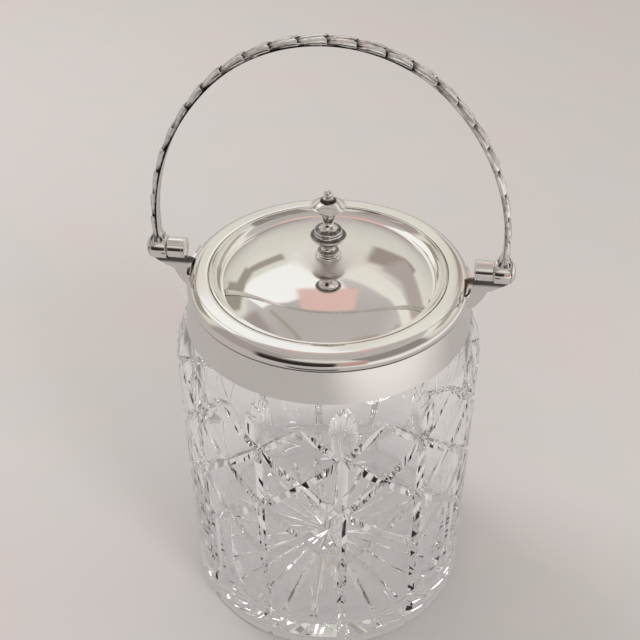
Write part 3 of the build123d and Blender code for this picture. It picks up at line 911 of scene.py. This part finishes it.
def leaf_set_back(share):
    """How far a leaf's end lies back at this share of its half-width: two rounded lobes."""
    return leaf_notch * (1 - sqrt(1 - (1 - share)**2))


def extrude_along(step, deeper, wider, middle):
    """Extrudes the selected loop along the run and resizes it about a line at this height."""
    bpy.ops.mesh.extrude_edges_move(
        TRANSFORM_OT_translate={"value": Vector((step, 0, 0)) * MM})
    bpy.ops.transform.resize(
        value=(1, deeper, wider), center_override=Vector((0, middle, 0)) * MM)


def make_leaves():
    """One leaf is drawn straight along X, then repeated along the handle's run."""
    half = leaf_root_width / 2
    right = [(first_leaf - leaf_set_back(share), leaf_base + rise * leaf_root_height,
              share * half) for share, rise in reversed(leaf_crown)]
    left = [(x, y, -z) for x, y, z in reversed(right[:-1])]
    loop = [(first_leaf, leaf_base, half)] + right + left + [(first_leaf, leaf_base, -half)]
    leaf = drawn_line("leaves", loop)
    take_edges()
    here, tall, wide = 0.0, leaf_root_height, leaf_root_width
    for along, growth, spread in leaf_growth:
        new_tall = leaf_root_height + growth * (leaf_tip_height - leaf_root_height)
        new_wide = leaf_root_width + spread * (leaf_tip_width - leaf_root_width)
        extrude_along((along - here) * leaf_pitch, new_tall / tall, new_wide / wide, leaf_base)
        here, tall, wide = along, new_tall, new_wide
    clear_bench()
    apply_modifier(leaf, "ARRAY", count=leaf_count, use_relative_offset=False,
                   use_constant_offset=True, constant_offset_displace=(leaf_pitch * MM, 0, 0),
                   use_merge_vertices=True, merge_threshold=1e-5)
    open_up(leaf)
    bpy.ops.mesh.fill_holes(sides=0)
    face_outwards()
    apply_modifier(leaf, "SUBSURF", levels=1, render_levels=1)
    return leaf


def make_strap_bar():
    """Plain bar under the leaves, its long edges rounded."""
    start = handle_knuckle_radius - strap_end_inset
    steps = 120
    step = (handle_run - 2 * start) / steps * MM
    deep = strap_thickness / 2 - strap_edge_round
    wide = strap_width / 2 - strap_side_inset - strap_edge_round
    loop = []
    for middle, turn in (
        ((deep, wide), 0), ((-deep, wide), 90), ((-deep, -wide), 180), ((deep, -wide), 270)
    ):
        loop += [(start, y, z) for y, z in arc(middle, strap_edge_round, turn, turn + 90, 3)]
    bar = drawn_line("bar", loop)
    take_edges()
    bpy.ops.mesh.edge_face_add()
    for _ in range(steps):
        bpy.ops.mesh.extrude_region_move(TRANSFORM_OT_translate={"value": (step, 0, 0)})
    face_outwards()
    return bar


def make_foot(at_end):
    """Calyx where the strap spreads on to its knuckle: petals with a hollow between each two."""
    points = 60
    travel, deep, wide = foot_stations[0]
    loop = []
    for point in range(points):
        turn = 2 * pi * point / points
        hollow = 1 - foot_petal_hollow * (1 - abs(cos(foot_petals / 2 * turn)))
        y = abs(cos(turn))**foot_squareness * (1 if cos(turn) > 0 else -1)
        z = abs(sin(turn))**foot_squareness * (1 if sin(turn) > 0 else -1)
        loop.append((travel, foot_middle + y * deep * hollow, z * wide * hollow))
    foot = drawn_line("foot", loop)
    take_edges()
    for new_travel, new_deep, new_wide in foot_stations[1:]:
        extrude_along(new_travel - travel, new_deep / deep, new_wide / wide, foot_middle)
        travel, deep, wide = new_travel, new_deep, new_wide
    take_all()
    bpy.ops.mesh.fill_holes(sides=0)
    if at_end:
        take_all()
        bpy.ops.transform.resize(value=(-1, 1, 1), center_override=(handle_run / 2 * MM, 0, 0))
    face_outwards()
    return foot


# How dark the handle is on its smooth places and in its feet's hollows, with painted shade beside
# its leaves up to past the crown and from there on, and, on a leaf, under its neighbour's tip,
# where it fades by a share of the leaf, and along its midrib, where it fades by a distance; in
# the hollows, under the tips and along the midrib the dark is partly oxide and partly painted
# shade.
smooth_dark, hollow_dark = 0.12, 0.8
left_side_shade, right_side_shade, brighter_from = 0.85, 0.3, 0.62
leaf_dark = 0.08
tip_dark, tip_fade = 0.95, 0.15
rib_dark, rib_fade = 0.5, 0.22
strap_rim = 0.4
side_height = 0.3


def oxide_and_shade_at(x, y, z):
    """How dark a point of the straight handle is, from 0 to 1, with oxide and painted shade
    together.
    """
    if not first_leaf < x < handle_run - first_leaf:
        turn = atan2(z, y - foot_middle)
        return min(1.0, smooth_dark + hollow_dark * (1 - abs(cos(foot_petals / 2 * turn))))
    if y < leaf_base and abs(z) < strap_width / 2 - strap_rim:
        return smooth_dark
    # Painted shade along the sides of the leaves, heavier up to past the crown.
    if y < leaf_base + side_height:
        return left_side_shade if x < handle_run * brighter_from else right_side_shade
    share = min(1.0, abs(z) / (leaf_tip_width / 2))
    past_tip = ((x - first_leaf + leaf_set_back(share)) / leaf_pitch) % 1.0
    # Under a neighbour's tip and along the midrib the dark is partly oxide and partly painted
    # shade.
    tip, rib = tip_dark * exp(-past_tip / tip_fade), rib_dark * exp(-abs(z) / rib_fade)
    return min(1.0, leaf_dark + tip + rib)


def note_run(piece):
    """Keeps each point's place on the straight handle, its oxide and painted shade, and whether
    it is chased.
    """
    run = piece.data.uv_layers.new(name="leaf_run")
    for corner in piece.data.loops:
        place = piece.data.vertices[corner.vertex_index].co
        run.data[corner.index].uv = (place.x, place.z)
    recess = piece.data.attributes.new("recess", "FLOAT", "POINT")
    chased = piece.data.attributes.new("chased", "FLOAT", "POINT")
    for point in piece.data.vertices:
        x, y, z = (value / MM for value in point.co)
        recess.data[point.index].value = oxide_and_shade_at(x, y, z)
        chased.data[point.index].value = 0.0 if y < leaf_base else 1.0


def handle_line():
    """The handle's arch, drawn lying down with its left pivot first."""
    across = 90 - handle_side_angle
    points = [(-handle_half_span, pivot_height)]
    points += arc((-side_centre, arch_height), handle_side_radius,
                  180, 180 - handle_side_angle, 60)
    points += arc((0, crown_height), crown_radius, 90 + across, 90 - across, 90)[1:]
    points += arc((side_centre, arch_height), handle_side_radius, handle_side_angle, 0, 60)[1:]
    points += [(handle_half_span, pivot_height)]
    line = drawn_line("handle_line", [(x, z, 0) for x, z in points], closed=False)
    pick(line)
    bpy.ops.object.convert(target="CURVE")
    line = bpy.context.object
    line.data.twist_mode = "Z_UP"
    return line


def make_handle():
    """The handle is made straight along X, bent to its arch, then stood up."""
    handle = joined([make_leaves(), make_strap_bar(), make_foot(False), make_foot(True)])
    note_run(handle)
    line = handle_line()
    apply_modifier(handle, "CURVE", object=line, deform_axis="POS_X")
    bpy.data.objects.remove(line)
    handle.rotation_euler.x = radians(90)
    rest_on_origin(handle)
    smooth(handle, 45)
    finish_piece(handle, "leaf_handle", "handle", "silver_chased", chased_silver, "handle_strap")


make_cut_glass()
make_collar()
make_lid()
make_finial()
for side, side_name in ((-1, "left"), (1, "right")):
    make_pivot(side, side_name)
    make_web(side, side_name)
make_handle()

for node, finish in (
    ("cement_ring", neck_plaster), ("neck_bezel", inner_silver), ("lid_skirt", inner_silver),
    ("finial_stud", inner_silver), ("finial_washer", inner_silver), ("finial_nut", inner_silver),
    ("left_bracket_plate", turned_silver), ("right_bracket_plate", turned_silver),
):
    dress(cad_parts[node], finish)


# ------------------------------------------------------- floor, light, camera
cloth_warm, cloth_cool = (0.83, 0.785, 0.785), (0.80, 0.80, 0.79)
cloth_glow = (0.67, 0.625, 0.61)
glow_share = 0.9
# The glow's strength as silver sees it: in the open, and what it gains sunward.
sun_way_x, sun_way_y = 0.8, -0.4
sun_edge, open_strength, sun_gain = (0.2, 0.42), 0.7, 0.65
# Its strength as it is seen through the glass: under the jar, beside it and far out.
jar_edge, under_strength, beside_gain = (0.05, 0.11), 0.68, 0.35
far_edge, far_loss = (0.22, 0.5), 0.75


def make_floor():
    """Pale cloth, faintly warmer and cooler in patches, that silver and glass see glow."""
    finish, tree, shader = new_finish("pale cloth", {"Roughness": 0.8})
    place = on_object(tree)
    cloth = tones(tree, noise(tree, place, 9, 3), (0.35, cloth_warm), (0.65, cloth_cool))
    feed(tree, shader, {"Base Color": cloth})
    east, north, _ = parts_of(tree, place)
    sunward = maths(tree, "ADD", scaled(tree, east, sun_way_x), scaled(tree, north, sun_way_y))
    bright = scaled(tree, eased(tree, sunward, *sun_edge), sun_gain, open_strength)
    away = measured(tree, "LENGTH", place)
    near = scaled(tree, eased(tree, away, *jar_edge), beside_gain, under_strength)
    ringed = maths(tree, "SUBTRACT", near, scaled(tree, eased(tree, away, *far_edge), far_loss))
    path = add_node(tree, "LightPath").outputs
    in_glass = maths(tree, "GREATER_THAN", path["Transmission Depth"], 0.5)
    strength = add_node(tree, "Mix", {"Factor": in_glass, "A": bright, "B": ringed})
    glow = add_node(tree, "Emission", {
        "Color": (*cloth_glow, 1), "Strength": strength.outputs["Result"]})
    mirrored = maths(tree, "MAXIMUM", path["Is Transmission Ray"], path["Is Glossy Ray"])
    seen_by_rays(finish, maths(tree, "MULTIPLY", mirrored, glow_share), shader, glow)
    clear_bench()
    bpy.ops.mesh.primitive_plane_add(size=8)
    floor = bpy.context.object
    floor.name = "table_top"
    floor.data.materials.append(finish)


# Where a card's colour is full, as shares of its size: from its middle, its foot and its top.
card_side, card_foot, card_top = 0.36, 0.08, 0.5


def studio_card(name, centre, size, facing, colour):
    """A plain card with soft edges beside the jar, as a studio flag that only the silver sees."""
    finish, tree, _ = new_finish(name)
    glow = add_node(tree, "Emission", {"Color": (*colour, 1)})
    clear = add_node(tree, "BsdfTransparent")
    place = add_node(tree, "TexCoord").outputs["Generated"]
    across, upward, _ = parts_of(tree, place)
    aside = maths(tree, "ABSOLUTE", maths(tree, "SUBTRACT", across, 0.5))
    shape = maths(tree, "MULTIPLY", eased(tree, aside, 0.5, card_side),
                  eased(tree, upward, 0.0, card_foot))
    shape = maths(tree, "MULTIPLY", shape, eased(tree, upward, 1.0, card_top))
    depth = add_node(tree, "LightPath").outputs["Transmission Depth"]
    outside = maths(tree, "LESS_THAN", depth, 0.5)
    seen_by_rays(finish, maths(tree, "MULTIPLY", shape, outside), clear, glow)
    clear_bench()
    bpy.ops.mesh.primitive_plane_add(size=1)
    card = bpy.context.object
    card.name = name
    card.scale = (size[0], size[1], 1)
    card.location = centre
    card.rotation_euler = (Vector(facing) - Vector(centre)).to_track_quat("Z", "Y").to_euler()
    card.data.materials.append(finish)
    card.visible_camera = card.visible_diffuse = False
    card.visible_transmission = card.visible_shadow = False


def soft_light(name, size, place, aim):
    clear_bench()
    bpy.ops.object.light_add(type="AREA", location=place)
    lamp = bpy.context.object
    lamp.name = name
    lamp.data.shape = "RECTANGLE"
    lamp.data.size, lamp.data.size_y = size
    lamp.data.energy = window_power
    lamp.visible_glossy = False
    lamp.rotation_euler = (Vector(aim) - Vector(place)).to_track_quat("-Z", "Y").to_euler()


def sky_direction(around, up):
    """Direction from its angle round from straight behind towards +X, and its angle up."""
    around, up = radians(around), radians(up)
    return Vector((sin(around) * cos(up), cos(around) * cos(up), sin(up)))


def sky_patch(tree, look, below, middle, half, ease, colour):
    """Lays a soft-edged window or wall of one colour over the room's colour below it."""
    ahead = sky_direction(*middle)
    across = ahead.cross(Vector((0, 0, 1))).normalized()
    cover = maths(tree, "GREATER_THAN", measured(tree, "DOT_PRODUCT", look, ahead))
    for axis, reach in ((across, half[0]), (across.cross(ahead), half[1])):
        aside = maths(tree, "ABSOLUTE", measured(tree, "DOT_PRODUCT", look, axis))
        edge = eased(tree, aside, sin(radians(reach + ease)), sin(radians(reach)))
        cover = maths(tree, "MULTIPLY", cover, edge)
    return tinted(tree, cover, below, colour)


# The room's colours from straight down, 0, over level, 0.5, to straight up, 1.
room_tones = [
    (0.0, (0.52, 0.48, 0.46)), (0.25, (0.70, 0.67, 0.61)), (0.5, (0.80, 0.77, 0.70)),
    (0.655, (0.80, 0.77, 0.70)), (0.67, (0.68, 0.65, 0.63)), (0.88, (0.52, 0.475, 0.455)),
    (1.0, (0.52, 0.475, 0.455)),
]
# Soft windows and walls of the room: middle (round, up), half size, softness, colour.
room_patches = [
    ((38, 49), (30, 3), 2, (0.88, 0.85, 0.78)),
    ((-34, 48), (19, 9), 2, (1.02, 1.02, 1.0)),
    ((150, 66), (24, 0.9), 1.2, (0.42, 0.39, 0.33)),
    ((-115, 67), (22, 0.9), 1.2, (0.42, 0.39, 0.33)),
    ((-8, 60.5), (7.5, 6.5), 2.5, (0.80, 0.55, 0.50)),
    ((-62, 27), (9, 8), 4, (0.36, 0.33, 0.28)),
    ((-45, 32), (8, 2.5), 3, (0.38, 0.34, 0.29)),
    ((-31, 32.5), (9, 1.2), 1.5, (0.38, 0.34, 0.29)),
    ((14, 31), (8, 4), 3, (0.38, 0.32, 0.28)),
    ((43, 37), (24, 4), 4, (0.48, 0.43, 0.40)),
    ((120, 30), (22, 20), 6, (0.30, 0.27, 0.25)),
    ((-120, 30), (24, 22), 8, (0.40, 0.35, 0.33)),
]
backdrop_colour = (0.60, 0.56, 0.545)
window_power = 3.4


def make_room_light():
    """Even pale room with a few soft windows and darker walls."""
    world = bpy.data.worlds.new("room")
    bpy.context.scene.world = world
    world.use_nodes = True
    tree = world.node_tree
    look = add_node(tree, "TexCoord").outputs["Generated"]
    colour = tones(tree, parts_of(tree, look)["Z"], *room_tones)
    for middle, half, ease, patch in room_patches:
        colour = sky_patch(tree, look, colour, middle, half, ease, patch)
    from_camera = add_node(tree, "LightPath").outputs["Is Camera Ray"]
    colour = tinted(tree, from_camera, colour, backdrop_colour)
    feed(tree, tree.nodes["Background"], {"Color": colour, "Strength": 0.95})


make_floor()
make_room_light()
soft_light("window_left", (0.5, 0.4), (-0.75, 0.45, 0.95), (0, 0, 0.1))
soft_light("window_right", (0.35, 0.35), (0.75, -0.75, 0.8), (0.25, -0.45, 0))
studio_card("dark_flag", (-0.11, -0.42, 0.24), (0.56, 0.40), (0, 0, 0.20), (0.03, 0.022, 0.022))
studio_card("rose_flag", (0.19, -0.43, 0.24), (0.20, 0.40), (0, 0, 0.20), (0.50, 0.33, 0.30))
studio_card("low_flag", (-0.01, -0.16, 0.04), (0.12, 0.078), (-0.01, 0, 0.04),
            (0.03, 0.022, 0.022))

# The camera stands off the middle of the flange by its reach, turned towards +X from the
# front and raised by its rise, and looks down by its tilt.
camera_turn = radians(7.6)
camera_rise = radians(35.03)
camera_tilt = 37.98
camera_reach = 0.3818
camera_data = bpy.data.cameras.new("camera")
camera = bpy.data.objects.new("camera", camera_data)
bpy.context.scene.collection.objects.link(camera)
bpy.context.scene.camera = camera
camera_data.sensor_width = 36
camera_data.lens = 56.25
camera_data.shift_x = -0.013
camera_data.clip_start = 0.01
camera.location = (camera_reach * cos(camera_rise) * sin(camera_turn),
                   -camera_reach * cos(camera_rise) * cos(camera_turn),
                   flange_top * MM + camera_reach * sin(camera_rise))
camera.rotation_euler = (radians(90 - camera_tilt), 0, camera_turn)

# Light caught between the cut faces needs this many turns to come out of the glass.
light_paths = bpy.context.scene.cycles
light_paths.max_bounces = 56
light_paths.transmission_bounces = 56
light_paths.glossy_bounces = 12
bpy.context.scene.view_settings.view_transform = "Standard"
